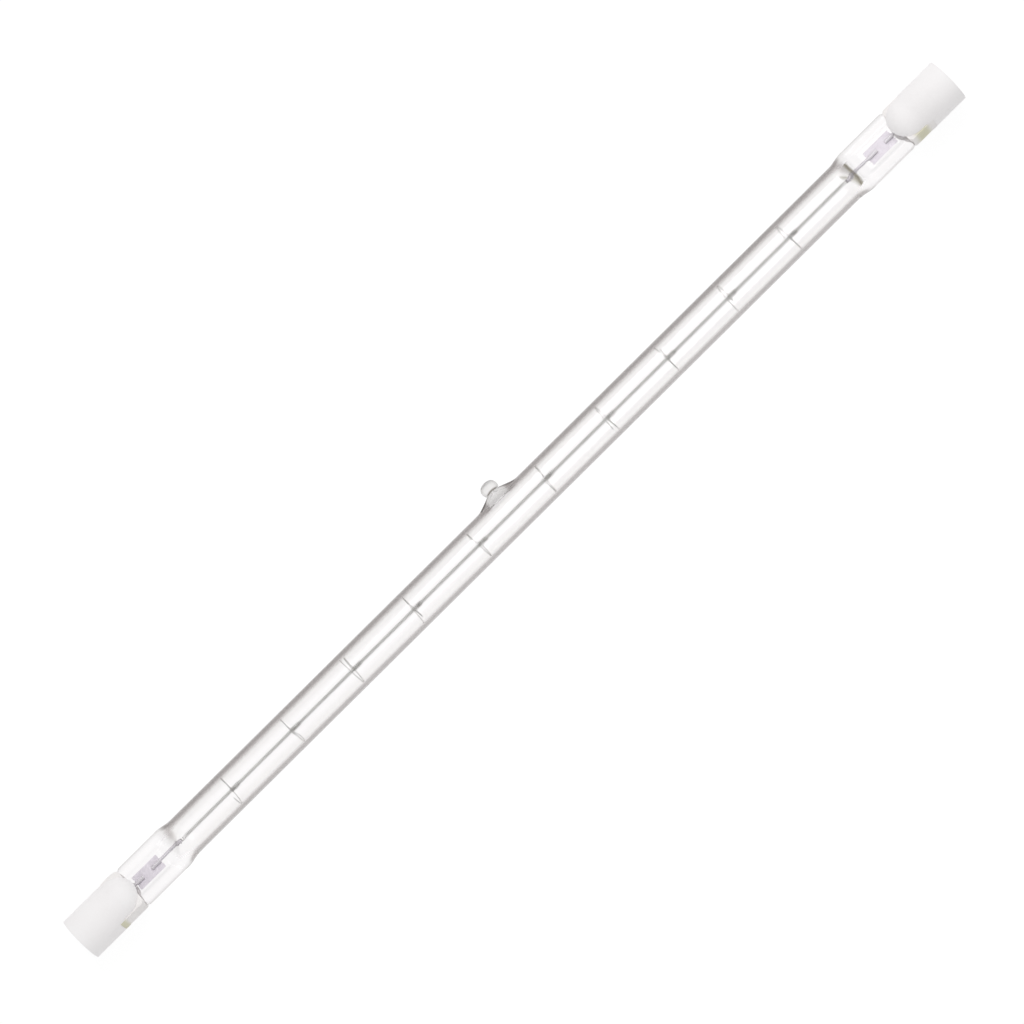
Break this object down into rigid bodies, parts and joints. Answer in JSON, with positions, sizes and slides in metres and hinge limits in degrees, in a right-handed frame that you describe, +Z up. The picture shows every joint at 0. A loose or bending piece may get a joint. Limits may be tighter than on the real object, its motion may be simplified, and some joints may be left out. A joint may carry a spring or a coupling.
{
  "type": "linear halogen bulb",
  "caption": "Double-ended halogen lamp: a clear quartz tube with a coiled filament on wire supports, flat pinch seals and slotted ceramic caps with recessed contacts.",
  "frame": {"origin": "on the lamp's axis, halfway between the end faces of its two caps", "axes": "+X along the lamp towards its right end, +Y to the side that the exhaust tip leans to, +Z up from the surface that the lamp lies on"},
  "size_m": [0.254, 0.0137, 0.0102],
  "materials": {
    "quartz": "clear, fire polished",
    "ceramic": "unglazed, smooth and matt",
    "cement": "coarse, matt",
    "tungsten": "drawn wire, grey",
    "molybdenum": "rolled, dull lavender grey",
    "contact_metal": "nickel plated"
  },
  "bodies": {
    "root": {"filament_coil": "tungsten", "filament_support_1": "tungsten", "filament_support_10": "tungsten", "filament_support_2": "tungsten", "filament_support_3": "tungsten", "filament_support_4": "tungsten", "filament_support_5": "tungsten", "filament_support_6": "tungsten", "filament_support_7": "tungsten", "filament_support_8": "tungsten", "filament_support_9": "tungsten", "left_cap": "ceramic", "left_cement": "cement", "left_contact": "contact_metal", "left_foil": "molybdenum", "left_inner_lead": "molybdenum", "left_outer_lead": "molybdenum", "quartz_envelope": "quartz", "right_cap": "ceramic", "right_cement": "cement", "right_contact": "contact_metal", "right_foil": "molybdenum", "right_inner_lead": "molybdenum", "right_outer_lead": "molybdenum"}
  },
  "joints": []
}
